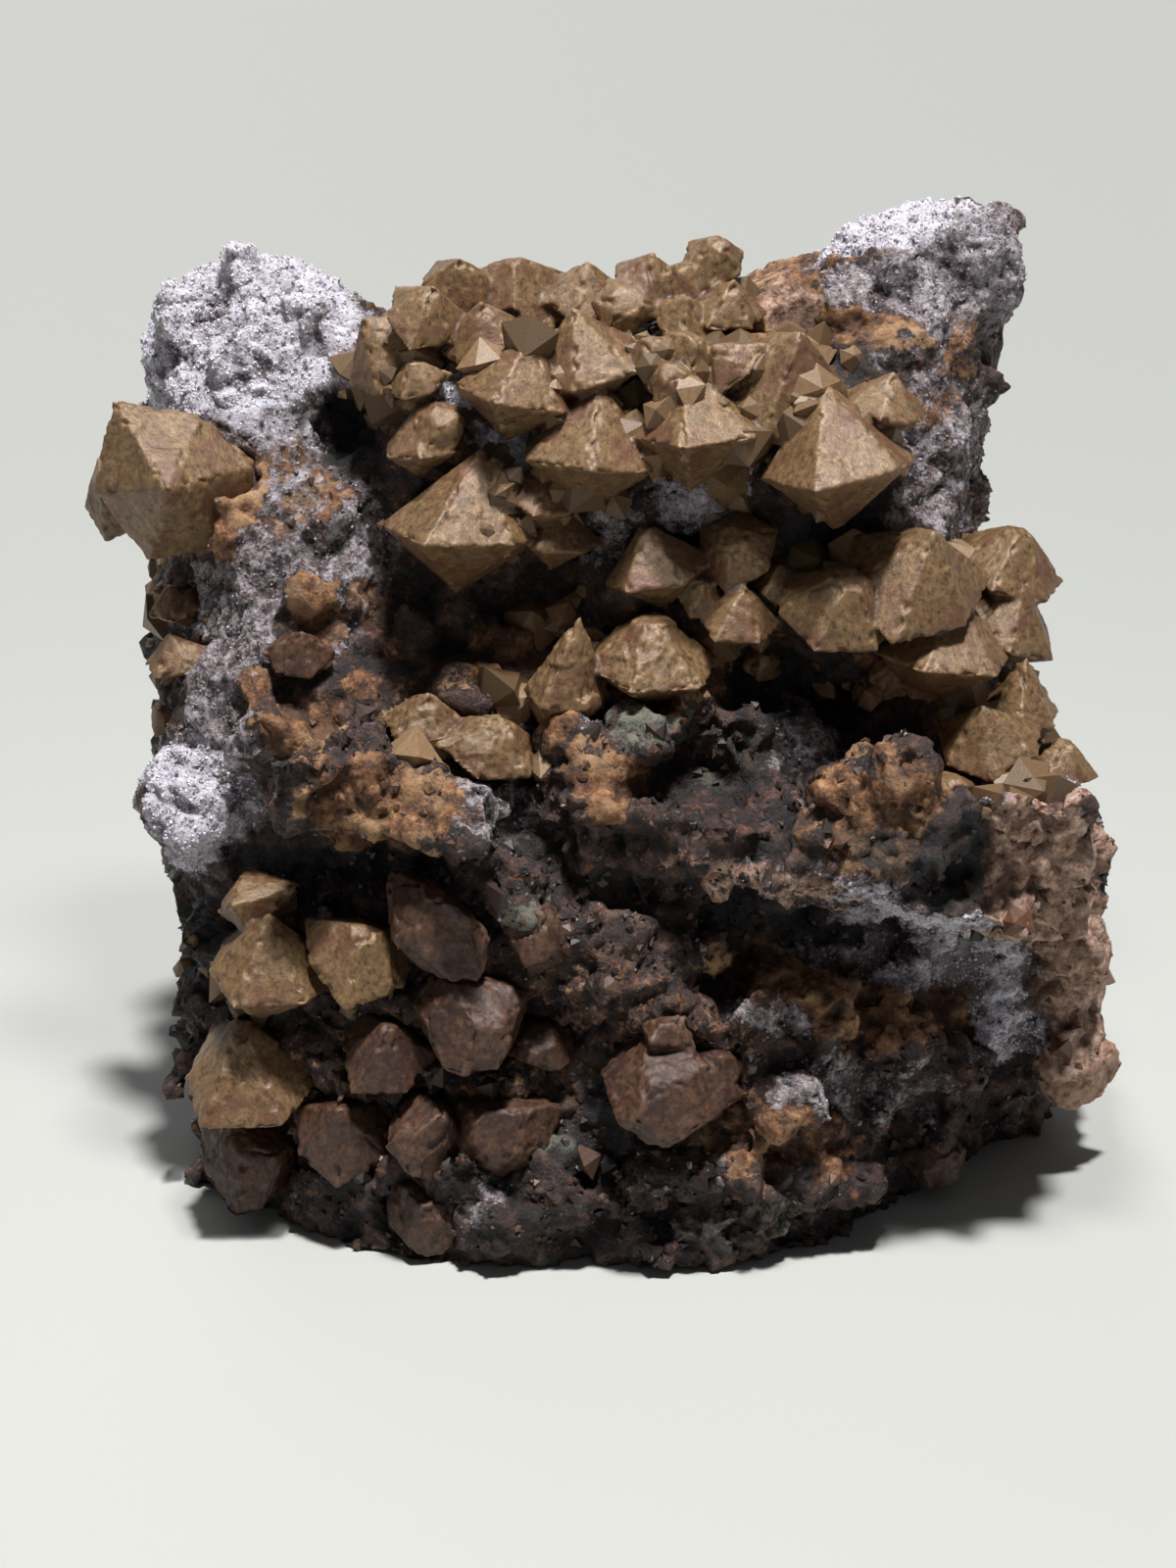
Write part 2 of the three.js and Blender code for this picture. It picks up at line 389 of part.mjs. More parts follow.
// Crystals that overlap have grown together and become one piece, named after the first of them.
function joined(crystals) {
  const groups = [];
  for (const crystal of crystals) {
    const near = groups.filter((group) => group.body.intersect(crystal.body).volume() > bondVolume);
    const merged = near.reduce((all, group) => ({
      name: all.order > group.order ? group.name : all.name,
      order: Math.min(all.order, group.order),
      body: all.body.add(group.body),
      socket: all.socket.add(group.socket),
    }), { ...crystal, order: crystals.indexOf(crystal) });
    near.forEach((group) => groups.splice(groups.indexOf(group), 1));
    groups.push(merged);
  }
  return groups.sort((a, b) => a.order - b.order);
}

function separated(groups) {
  return groups.map((group, i) => {
    const body = groups.slice(0, i).reduce((rest, other) => rest.subtract(other.socket), group.body);
    return { ...group, body: largestBody(body) };
  });
}

const baseBlock = solid(new THREE.BoxGeometry(200, 200, 60).translate(0, 0, -30));
const allCrystals = [...topCrystals, ...middleCrystals, ...leftCrystals, ...lowerCrystals].map(crystalFrom);
const groups = separated(joined(allCrystals));

let rock = rockBody();
for (const [u, v, w, sizes, turn] of raisedLumps) rock = rock.add(lump(u, v, w, sizes, turn));
for (const [u, v, w, sizes, turn] of hollows) rock = rock.subtract(lump(u, v, w, sizes, turn));
for (const bud of buds.map(crystalFrom)) rock = rock.add(bud.body);
for (const group of groups) rock = rock.subtract(group.socket);
rock = largestBody(rock.subtract(baseBlock));

function meshOf(name, shape, material) {
  const { vertProperties, triVerts } = shape.getMesh();
  const geometry = new THREE.BufferGeometry();
  geometry.setAttribute('position', new THREE.BufferAttribute(vertProperties, 3));
  geometry.setIndex(new THREE.BufferAttribute(triVerts, 1));
  const mesh = new THREE.Mesh(geometry, material);
  mesh.name = name;
  return mesh;
}

const rockMaterial = new THREE.MeshStandardMaterial({ color: 0x5b4a45, roughness: 0.9, metalness: 0 });
const crystalMaterial = new THREE.MeshStandardMaterial({ color: 0x8a6a3c, roughness: 0.55, metalness: 0 });
const placed = new THREE.Group();
placed.add(meshOf('matrix', rock, rockMaterial));
for (const { name, body } of groups) {
  const grounded = largestBody(body.subtract(baseBlock));
  placed.add(meshOf(name, grounded, crystalMaterial));
}

// The middle of the outer box stands over the origin.
const outerMiddle = new THREE.Box3().setFromObject(placed).getCenter(new THREE.Vector3());
placed.position.set(-outerMiddle.x, -outerMiddle.y, 0);
const specimen = new THREE.Group();
specimen.add(placed);

export default specimen;
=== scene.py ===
import bpy
import json
import math
import numpy as np
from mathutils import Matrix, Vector, noise


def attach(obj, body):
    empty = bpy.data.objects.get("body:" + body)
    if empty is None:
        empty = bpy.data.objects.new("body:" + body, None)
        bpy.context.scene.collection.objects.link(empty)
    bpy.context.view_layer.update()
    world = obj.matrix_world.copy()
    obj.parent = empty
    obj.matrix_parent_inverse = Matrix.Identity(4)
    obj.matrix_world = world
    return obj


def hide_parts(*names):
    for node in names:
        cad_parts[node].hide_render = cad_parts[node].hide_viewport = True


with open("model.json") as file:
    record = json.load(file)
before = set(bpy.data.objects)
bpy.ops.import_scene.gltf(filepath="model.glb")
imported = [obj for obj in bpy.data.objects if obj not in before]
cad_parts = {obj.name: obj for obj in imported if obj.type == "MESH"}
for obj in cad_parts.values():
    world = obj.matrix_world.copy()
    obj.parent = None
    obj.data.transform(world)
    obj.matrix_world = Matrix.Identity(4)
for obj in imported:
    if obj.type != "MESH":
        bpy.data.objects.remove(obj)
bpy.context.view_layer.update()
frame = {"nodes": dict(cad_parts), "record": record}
mm = 0.001
weldDistance = 0.002 * mm
print("frame loaded")

# The camera looks at the middle from the front. What is placed below by [across, up] is placed as it sees it.
cameraView = {
    "middle": Vector((-1.733, 1.023, 27.1)) * mm,
    "distance": 200 * mm,
    "pitch": 18.0,          # degrees that it looks down
    "pixel": 0.072 * mm,    # what one pixel of the picture covers at the middle
    "pixels": 1600,         # height of the picture
    "sensor": 36,
    "frontDepth": -6,       # millimetres towards the camera from the middle, where the front begins
    "backDepth": -14,       # and where the back ends
}
pitch = math.radians(cameraView["pitch"])
across = Vector((1, 0, 0))
upward = Vector((0, math.sin(pitch), math.cos(pitch)))
toward = Vector((0, -math.cos(pitch), math.sin(pitch)))


def addObject(name, data):
    obj = bpy.data.objects.new(name, data)
    bpy.context.scene.collection.objects.link(obj)
    return obj


def addMesh(name, points, faces):
    mesh = bpy.data.meshes.new(name)
    mesh.from_pydata(points, [], faces)
    return addObject(name, mesh)


def soloSelect(obj):
    bpy.ops.object.select_all(action="DESELECT")
    obj.select_set(True)
    bpy.context.view_layer.objects.active = obj


def copyNode(node, name):
    mesh = frame["nodes"][node].data.copy()
    mesh.materials.clear()
    obj = addObject(name, mesh)
    soloSelect(obj)
    bpy.ops.object.mode_set(mode="EDIT")
    bpy.ops.mesh.select_all(action="SELECT")
    bpy.ops.mesh.remove_doubles(threshold=weldDistance)
    bpy.ops.object.mode_set(mode="OBJECT")
    return obj


# One closed skin of even quads in place of the piece's faces.
def remesh(obj, grid):
    soloSelect(obj)
    modifier = obj.modifiers.new("Remesh", "REMESH")
    modifier.mode = "VOXEL"
    modifier.voxel_size = grid * mm
    modifier.use_smooth_shade = True
    bpy.ops.object.modifier_apply(modifier=modifier.name)


def readVectors(items, name):
    values = np.empty(len(items) * 3, np.float32)
    items.foreach_get(name, values)
    return values.reshape(-1, 3).astype(float)


def vertexPlaces(obj):
    return readVectors(obj.data.vertices, "co")


def vertexNormals(obj):
    return readVectors(obj.data.vertex_normals, "vector")


def moveVertices(obj, places):
    obj.data.vertices.foreach_set("co", places.astype(np.float32).ravel())
    obj.data.update()


def pushOut(obj, distances):
    places = vertexPlaces(obj) + vertexNormals(obj) * distances[:, None] * mm
    places[:, 2] = np.maximum(places[:, 2], 0)      # it stands on the ground and never passes it
    moveVertices(obj, places)


def storeField(obj, name, values):
    obj.data.attributes.new(name, "FLOAT", "POINT").data.foreach_set("value", values.astype(np.float32))


def readField(obj, name):
    values = np.empty(len(obj.data.vertices), np.float32)
    obj.data.attributes[name].data.foreach_get("value", values)
    return values


# How far each point stands out from the shape that is left when its surroundings are smoothed.
def standingOut(obj, rounds):
    places = vertexPlaces(obj)
    count = len(places)
    ends = np.empty(len(obj.data.edges) * 2, np.int32)
    obj.data.edges.foreach_get("vertices", ends)
    first = np.concatenate([ends[0::2], ends[1::2]])
    second = np.concatenate([ends[1::2], ends[0::2]])
    shares = np.maximum(np.bincount(first, minlength=count), 1)
    smooth = places.copy()
    for _ in range(rounds):
        smooth = np.stack([np.bincount(first, smooth[second, k], count) / shares for k in range(3)], axis=1)
    return ((places - smooth) * vertexNormals(obj)).sum(axis=1) / mm


def turned(x, y, degrees):
    c, s = math.cos(math.radians(degrees)), math.sin(math.radians(degrees))
    return x * c - y * s, x * s + y * c


# How many millimetres at that depth look as long as one at the middle.
def sightScale(depth):
    return 1 - depth * mm / cameraView["distance"]


# Where the camera sees each point, in millimetres across, up and towards it.
def seenPlaces(places):
    offset = (places - np.array(cameraView["middle"])) / mm
    depth = offset @ np.array(toward)
    scale = sightScale(depth)
    return offset @ np.array(across) / scale, offset @ np.array(upward) / scale, depth


# 1 on the front, 0 on the back, and between them on the sides.
def frontShare(depth):
    front, back = cameraView["frontDepth"], cameraView["backDepth"]
    return np.clip((depth - back) / (front - back), 0, 1)


def noiseField(places, size, shift=0.0):
    return np.array([noise.noise(Vector(p)) for p in places / (size * mm) + shift])


# Broken stone: each cell of the pattern is a block with a flat face of its own tilt and height.
stoneLook = {
    "tilt": 1.6,
    "crackWidth": 0.08,     # of a block
    "cellSpread": 17.3,     # any uneven number, which gives neighbours unlike tilts
}


def blockField(places, size, shift):
    faces = np.empty(len(places))
    gaps = np.empty(len(places))
    for i, p in enumerate(places / (size * mm) + shift):
        point = Vector(p)
        distances, cells = noise.voronoi(point)
        lean = noise.cell_vector(cells[0] * stoneLook["cellSpread"]) - Vector((0.5, 0.5, 0.5))
        faces[i] = (point - cells[0]).dot(lean) * stoneLook["tilt"] + lean.x
        gaps[i] = distances[1] - distances[0]
    return faces, np.exp(-gaps / stoneLook["crackWidth"])


# A patch is [across, up, half width, half height, turn in degrees, strength].
patchEdge = {"end": 1.2, "fade": 0.4}      # how many half widths out it ends, and over how many it fades


def patchWeights(seen, warp, patches):
    u, v, depth = seen
    weights = np.zeros(len(u))
    for a, b, halfWide, halfHigh, turn, strength in patches:
        du, dv = turned(u + warp[0] - a, v + warp[1] - b, -turn)
        far = np.hypot(du / halfWide, dv / halfHigh)
        weights = np.maximum(weights, strength * np.clip((patchEdge["end"] - far) / patchEdge["fade"], 0, 1))
    return weights * frontShare(depth)


# the rock
rockLook = {
    "grid": 0.85,           # millimetres between points of its skin at the back, and half of it in front
    "rounding": 0.3,        # how far the finer skin in front is smoothed
    # blocks as [across, up, half width, half height, half depth, turn, rise above the rock]
    "ledge": [
        [3, -4, 4.6, 2.8, 4, -6, 0], [11.5, -4.8, 6, 2.6, 4, -8, 0.6], [19.5, -6.2, 6, 2.8, 4, -10, 0.6],
        [27.4, -7.4, 5.6, 3.2, 4, -12, 0.4], [32, -5.6, 4.6, 5.4, 4, -4, 0.4],
        [21.2, -2.6, 5, 4.8, 3.4, 24, 0.2], [-12, -2.2, 4.8, 2.8, 3, -14, 0.4],
        [-18.5, -0.8, 4.8, 2.6, 3, 6, 0.4], [-23, 2.8, 3.6, 2.8, 3, -20, 0.3], [35, -12, 2.6, 4.4, 4, 8, 0],
        [34.6, -18.6, 2.8, 4.2, 4, -6, 0],
    ],
    # and smaller ones as [across, up, half width]
    "chunks": [
        [-8.5, -4, 2.4], [-5.5, -7.6, 2.6], [-9.5, -6.6, 1.9], [-1, -9.6, 2.3], [2.8, -11.6, 2.1],
        [0.4, -14.4, 2.4], [4.4, -15.2, 2], [8.4, -12.6, 2.2], [7.4, -17, 2], [12, -18.4, 2.6],
        [17.4, -19, 2.4], [23, -19.6, 2.6], [27.6, -20.8, 2.2], [15, -23.6, 2.6], [20.8, -22.6, 2.2],
        [25.2, -24, 2.4], [10.6, -27.2, 2.4], [19.4, -28, 2.6], [6.4, -28.6, 2.4], [2.6, -30.4, 2.2],
        [-2.6, -28.6, 2.2], [-6.4, -31.4, 2.6], [11.8, -31.4, 2.2], [-9, -28.6, 2], [-15.8, -28.4, 2.2],
        [-19.6, -30, 2.4], [-17, -21.8, 2.2], [-20.6, -17.6, 2.4], [-27.4, -11.6, 2], [-28.6, -15.6, 2.2],
        [-29, -20.6, 2.2], [-27.6, -29, 2.4], [-1.4, 3.6, 1.9], [3.4, 3.4, 2.2], [7.6, 4.4, 2.1],
        [11.4, 3.2, 2.2], [15.4, 3.8, 2.4], [18, 8.6, 1.8], [-16.4, 2.6, 2.4], [-12.6, 1, 2], [-18.6, 6, 2],
        [-24.8, 7.6, 1.9], [-20.8, 13.6, 2.1], [-25.4, 19.6, 1.9], [-18.8, 19.6, 1.8], [19.8, 33.6, 2.4],
        [15.8, 35.6, 2.2], [24.2, 35.4, 2.2], [30, -16.6, 2.2], [-6, 10, 2.4], [-0.6, 12.6, 2.1],
        [2.4, 13.6, 1.9], [-9.4, 12, 2.3], [-13, 10.6, 2.2], [-8.4, 7, 2.2], [-29.6, 34.6, 2.6],
        [-25.4, 38, 2.2], [-21.4, 34.4, 2.3], [-26, 31, 2.2], [-31.2, 30.4, 2], [27, 33.6, 2.2],
        [29, 29, 1.9], [26, 25.4, 2], [28, 20.6, 1.9], [30, 40.6, 2.2], [25.4, 40, 2.4],
    ],
    "chunkHeight": 0.8, "chunkRise": 0.1,    # of the half width
    "chunkTurns": [47, 29],                  # degrees for each millimetre across and up
    "blockSeed": 31, "blockStray": 0.34, "blockLean": 0.5, "blockSize": 0.8, "blockFloor": 0.3,
    "swell": 0.15,          # closes the gaps round the crystals
    "swells": 0.5, "swellSize": 3.0,
    "faces": [[6.0, 0.9], [3.0, 0.8], [1.4, 0.4]],   # size of the broken faces and how far they stand out
    "cracks": 0.3,
    "unbroken": 0.45,       # the share of the faces and cracks where the rock isn't broken
    "facesWarp": 0.9, "facesWarpSize": 2.2,
    "grit": 0.3, "gritSize": 0.8,
    "crustBumps": 0.6, "crustBumpSize": 1.6, "crustBumpWarp": 0.5,
    "edgeRounds": 4, "heightRounds": 40,    # of smoothing, to tell edges and hollows
    "patchWarp": 1.8, "patchWarpSize": 3, "finerWarp": 0.45, "finerWarpSize": 0.3,
    "patches": {
        "crust": [
            [-25, 34, 9, 8, 0, 1], [-30, 30, 5, 6, 0, 0.9], [-22, 25, 5, 6, 0, 0.72],
            [-20, 16, 7, 7, 10, 0.55], [-26, 14, 5, 4, 0, 0.55], [-25, 9, 5, 3, 0, 0.54],
            [-28.5, -1.3, 4.4, 5.2, 0, 1], [-27, 5, 3, 3, 0, 0.6], [-2.7, 32, 2.2, 2.8, 0, 1],
            [-5.5, 25, 3.4, 2, 0, 0.9], [-9.5, 30, 1.8, 3, 0, 0.9], [8.5, 21, 4, 2.6, 10, 0.7],
            [1.5, 19, 2.5, 3, 0, 0.5], [27, 38, 6, 6, 0, 0.66], [19, 36.5, 3, 2, 10, 0.6],
            [22, 41, 9, 1.6, 14, 1], [26.5, 24, 4.5, 8, 0, 0.55], [25.5, 17.2, 4, 2.2, -25, 0.7],
            [22.5, 33.5, 4, 3, 0, 0.45], [15.6, 3, 3, 2.4, 20, 0.62], [24, -12.5, 10, 3.4, -14, 0.8],
            [30.5, -17.4, 3.2, 3.4, 0, 1], [25, -10.6, 8, 2, -14, 0.85], [13.4, -17.5, 3.6, 1.6, -8, 0.75],
            [17, -22.4, 4.4, 2.6, 10, 0.62], [33, -0.6, 4, 1.6, 0, 0.62], [-7.5, -2, 3, 2.6, 0, 0.5],
            [-7.6, -30, 1.6, 2.6, 0, 0.6], [-5.6, -24.6, 1.8, 0.8, 0, 0.75],
            [-19.8, -9.3, 1.6, 1.2, 0, 0.6], [-28, -24.4, 0.8, 0.8, 0, 0.9], [24, -23, 4, 2, 20, 0.5],
            [0.5, 5, 1.5, 1.5, 0, 0.4], [28, -7.6, 7, 0.9, -12, 0.5], [17, -6.8, 8, 0.7, -8, 0.5],
        ],
        "rust": [
            [14.5, 35.4, 3, 2.6, -20, 1], [21, 33, 4.4, 1.4, -5, 0.8], [19, 39, 5, 1.2, 14, 0.5],
            [-25.6, 22, 1.8, 3.4, 0, 0.9], [-15.4, -1.6, 6.4, 3, -8, 1], [1.6, 0.6, 3, 2.6, 0, 0.9],
            [-2, 5, 2, 3, 0, 0.8], [22, -2.6, 5.4, 4.6, 0, 0.85], [33, -5.4, 4.6, 4.6, 0, 0.9],
            [14, -14, 6, 2, -10, 0.8], [22, -17, 8, 2.6, -5, 0.9], [-21, 3.8, 3.4, 2, 0, 0.8],
            [-17, 6.6, 2, 1.4, 0, 0.7], [-22, 24, 2, 1.6, 0, 0.6], [-20.6, 20.8, 2.2, 1, 0, 0.6],
            [-27, 17.5, 1.7, 1.7, 0, 0.8], [5, 8, 5, 3.6, 0, 0.6], [11, 8, 3, 2.4, 0, 0.5],
            [36, -13, 3.4, 4.4, 0, 0.95], [36, -20, 3.4, 3.4, 0, 0.85], [9, 23.6, 4, 1.4, 10, 0.8],
            [14, -26.6, 6, 3, -10, 0.7], [20.4, 8.8, 1.2, 1.4, 0, 1], [-12, 28.6, 1.6, 1, 0, 0.9],
            [-6.5, 2, 3, 2.4, 0, 0.6], [-26, -24, 4, 4, 0, 0.4], [-31, 19, 1.6, 3, 0, 0.7],
            [-14, 7, 3, 1.4, 0, 0.5], [29.4, 16, 1.6, 2, 0, 0.6], [3, -20, 12, 9, 0, 0.35],
            [-20.4, 13.4, 2.4, 2.2, 0, 0.9], [-24.8, 7.4, 1.8, 1.5, 0, 0.7], [-15.6, 12, 1.6, 3, 30, 0.6],
            [-6, 9, 4, 3, 0, 0.6], [-23, 18.6, 1.5, 1.2, 0, 0.6], [-19, 22.6, 1.3, 2.4, 20, 0.7],
            [27.4, 32, 1.4, 3, 10, 0.6], [25.6, 27.4, 1.2, 2, 0, 0.6], [29, 21, 1, 2, 0, 0.6],
            [-20, -22, 6, 4, 0, 0.35],
        ],
        # painted shade: near-black patches over the recesses, the undersides and the shadowed edges
        "dark": [
            [17, 17.4, 3.6, 2.4, 0, 1], [-17.6, 26.4, 2.2, 3.4, 20, 1], [27, -5.6, 2.9, 3.8, 10, 1.3],
            [16, 6.6, 5.4, 2.4, -5, 0.9], [-5, 12.4, 3, 2, 0, 0.5], [-18, -6.3, 9, 1.5, -2, 1],
            [1.8, -24, 2.4, 4, 0, 0.9], [15.2, -28.7, 2.2, 1.5, -10, 1], [10, 2, 5, 3, 0, 0.5],
            [-4, -27, 5, 4, 0, 0.5], [-14, -29, 6, 3, 0, 0.5], [16, -10, 8, 1.4, -12, 0.8],
            [0, -33, 14, 2, 0, 0.5], [-28.5, -13, 2, 6, 0, 0.7], [12, -9, 6, 1.6, -12, 0.6],
            [-32.6, 10, 1.6, 6, 0, 0.8], [22, -5.6, 5, 1.2, -20, 0.7],
        ],
        "pale": [        # pink-orange broken stone
            [33.4, -4.8, 4.6, 4.4, 0, 1], [36, -13, 3.4, 5.6, 0, 1], [36, -20, 3.6, 3.4, 0, 0.9],
            [14.5, 35.4, 2.6, 2, -20, 0.75], [30, -9.6, 5, 1.2, -12, 0.7], [12, -6.8, 9, 0.8, -8, 0.6],
        ],
        "green": [
            [5, 4, 3, 1.8, 0, 0.6], [9, 1.4, 2.6, 1.8, 0, 0.55], [-5.4, -9.6, 2, 1.4, 0, 0.6],
            [-3.4, -26, 1.6, 1, 0, 0.8], [28, -30, 3, 2, 0, 0.3], [12, -32, 6, 1.6, 0, 0.4],
        ],
        "broken": [
            [0, -19, 34, 16, 0, 1], [-12, 1, 12, 6, 0, 0.9], [6, 6, 9, 6, 0, 0.9], [22, -3, 9, 6, 0, 0.7],
            [33, -10, 6, 12, 0, 0.8],
        ],
        "gold": [        # where small golden crystals grow
            [-4, 30, 14, 8, 0, 1], [10, 28, 10, 8, 0, 1], [-8, 21, 6, 5, 0, 0.8], [22, 12, 11, 6, 0, 1],
            [6, 12, 9, 4, 0, 1], [30, 6, 5, 8, 0, 1], [-30, 12, 3, 8, 0, 0.6], [-10, 4, 7, 4, 0, 0.7],
            [-22, -13, 9, 5, 0, 0.5],
        ],
    },
    # the sides and back, which the patches fade out of, drift between crust and rust
    "drift": [[12, 1, 7], [4.5, 0.7, 9], [1.6, 0.5, 13]],    # size, share and shift of the noise
    "driftContrast": 1.5, "driftCrust": 0.58, "driftRust": 0.62, "driftMiddle": 0.2, "sidesBroken": 0.8,
    # how much of the first is lost under the second (crust under the painted shade, for one), apart from
    # crust above the last value
    "crustInShade": 0.8, "crustInStain": 0.65, "brokenInCrust": 0.6, "wholeCrust": 0.9,
}


# Broken blocks on the rock's face: uneven boxes whose corners stray.
def brokenBlocks(name, rows, carrier):
    rng = np.random.default_rng(rockLook["blockSeed"])
    u, v, w = seenPlaces(vertexPlaces(carrier))
    facing = w > cameraView["frontDepth"]
    stray, slant = rockLook["blockStray"], rockLook["blockLean"]
    box = np.array([[x, y, z] for z in (-1, 1) for y in (-1, 1) for x in (-1, 1)], float)
    sides = [[0, 2, 3, 1], [4, 5, 7, 6], [0, 1, 5, 4], [2, 6, 7, 3], [0, 4, 6, 2], [1, 3, 7, 5]]
    points, faces = [], []
    for a, b, halfWide, halfHigh, halfDeep, turn, rise in rows:
        nearest = np.argsort((u[facing] - a) ** 2 + (v[facing] - b) ** 2)[:3]
        depth = w[facing][nearest].mean() + rise
        corners = box + rng.uniform(-stray, stray, (8, 3))
        corners = corners * np.array([halfWide, halfHigh, halfDeep]) * rockLook["blockSize"]
        lean = rng.uniform(-slant, slant, 2)
        x, y = turned(corners[:, 0], corners[:, 1], turn)
        z = corners[:, 2] + x * lean[0] + y * lean[1]
        scale = sightScale(depth)
        faces += [[len(points) + k for k in side] for side in sides]
        for k in range(len(box)):
            place = (cameraView["middle"] + across * (a * scale + x[k]) * mm
                     + upward * (b * scale + y[k]) * mm + toward * (depth + z[k]) * mm)
            points.append((place.x, place.y, max(place.z, rockLook["blockFloor"] * mm)))
    return addMesh(name, points, faces)


# The rock and its blocks as one skin, finer in front.
def rockSkin():
    skin = copyNode("matrix", "dressedMatrix")
    perAcross, perUp = rockLook["chunkTurns"]
    chunks = [[a, b, half, half * rockLook["chunkHeight"], half, a * perAcross + b * perUp,
               rockLook["chunkRise"] * half] for a, b, half in rockLook["chunks"]]
    brokenBlocks("blocks", rockLook["ledge"] + chunks, skin).select_set(True)
    bpy.context.view_layer.objects.active = skin
    bpy.ops.object.join()
    remesh(skin, rockLook["grid"])
    depth = seenPlaces(vertexPlaces(skin))[2]
    inFront = [depth[list(face.vertices)].min() > cameraView["frontDepth"] for face in skin.data.polygons]
    bpy.context.tool_settings.mesh_select_mode = (False, False, True)
    skin.data.polygons.foreach_set("select", inFront)
    bpy.ops.object.mode_set(mode="EDIT")
    bpy.ops.mesh.subdivide(number_cuts=1, smoothness=rockLook["rounding"])
    bpy.ops.mesh.select_all(action="SELECT")
    bpy.ops.mesh.quads_convert_to_tris()
    bpy.ops.object.mode_set(mode="OBJECT")
    return skin


# How far each point is moved across and up before the patches are laid on it: their edges become ragged.
def patchWarp(places):
    height, size = rockLook["patchWarp"], rockLook["patchWarpSize"]
    finer = size * rockLook["finerWarpSize"]
    return [noiseField(places, size, shift) * height
            + noiseField(places, finer, shift) * height * rockLook["finerWarp"] for shift in (0, 40)]


# Where the rock has which stone, crust or stain, from 0 to 1 at each of its points.
def rockFields(places):
    seen = seenPlaces(places)
    warp = patchWarp(places)
    fields = {name: patchWeights(seen, warp, patches) for name, patches in rockLook["patches"].items()}
    sides = 1 - frontShare(seen[2])
    drift = sum(noiseField(places, size, shift) * share for size, share, shift in rockLook["drift"])
    drift = drift * rockLook["driftContrast"]
    crust = np.maximum(fields["crust"], sides * np.clip(drift, 0, rockLook["driftCrust"]))
    rust = np.maximum(fields["rust"],
                      sides * np.clip(-drift - rockLook["driftMiddle"], 0, rockLook["driftRust"]))
    stain = np.clip(np.maximum(rust, fields["pale"]), 0, 1) * (crust < rockLook["wholeCrust"])
    # the crust gives way to the painted shade and to stains
    crust = crust * (1 - rockLook["crustInShade"] * fields["dark"]) * (1 - rockLook["crustInStain"] * stain)
    broken = np.maximum(fields["broken"], sides * rockLook["sidesBroken"])
    broken = broken * (1 - rockLook["brokenInCrust"] * crust)
    return {**fields, "crust": crust, "rust": rust, "broken": broken, "sides": sides}


def shapeRock(skin, places, fields):
    warp = np.stack([noiseField(places, rockLook["facesWarpSize"], shift) for shift in (3, 11, 23)], axis=1)
    warp = warp * rockLook["facesWarp"] * mm
    share = rockLook["unbroken"] + (1 - rockLook["unbroken"]) * fields["broken"]
    relief = noiseField(places, rockLook["swellSize"]) * rockLook["swells"] + rockLook["swell"]
    for size, height in rockLook["faces"]:
        faces, cracks = blockField(places + warp, size, size * 5)
        relief += (faces * height - cracks * rockLook["cracks"] * height) * share
    pushOut(skin, relief)
    grit = noiseField(places, rockLook["gritSize"]) * rockLook["grit"]
    bumps = blockField(places + warp * rockLook["crustBumpWarp"], rockLook["crustBumpSize"], 9)[1]
    pushOut(skin, grit - bumps * fields["crust"] * rockLook["crustBumps"])


rock = rockSkin()
rockPlaces = vertexPlaces(rock)
ground = rockFields(rockPlaces)
shapeRock(rock, rockPlaces, ground)
for name in ("crust", "rust", "dark", "green", "pale"):
    storeField(rock, name, ground[name])
storeField(rock, "edge", standingOut(rock, rockLook["edgeRounds"]))
storeField(rock, "height", standingOut(rock, rockLook["heightRounds"]))
print("rock shaped", len(rock.data.polygons), "faces")


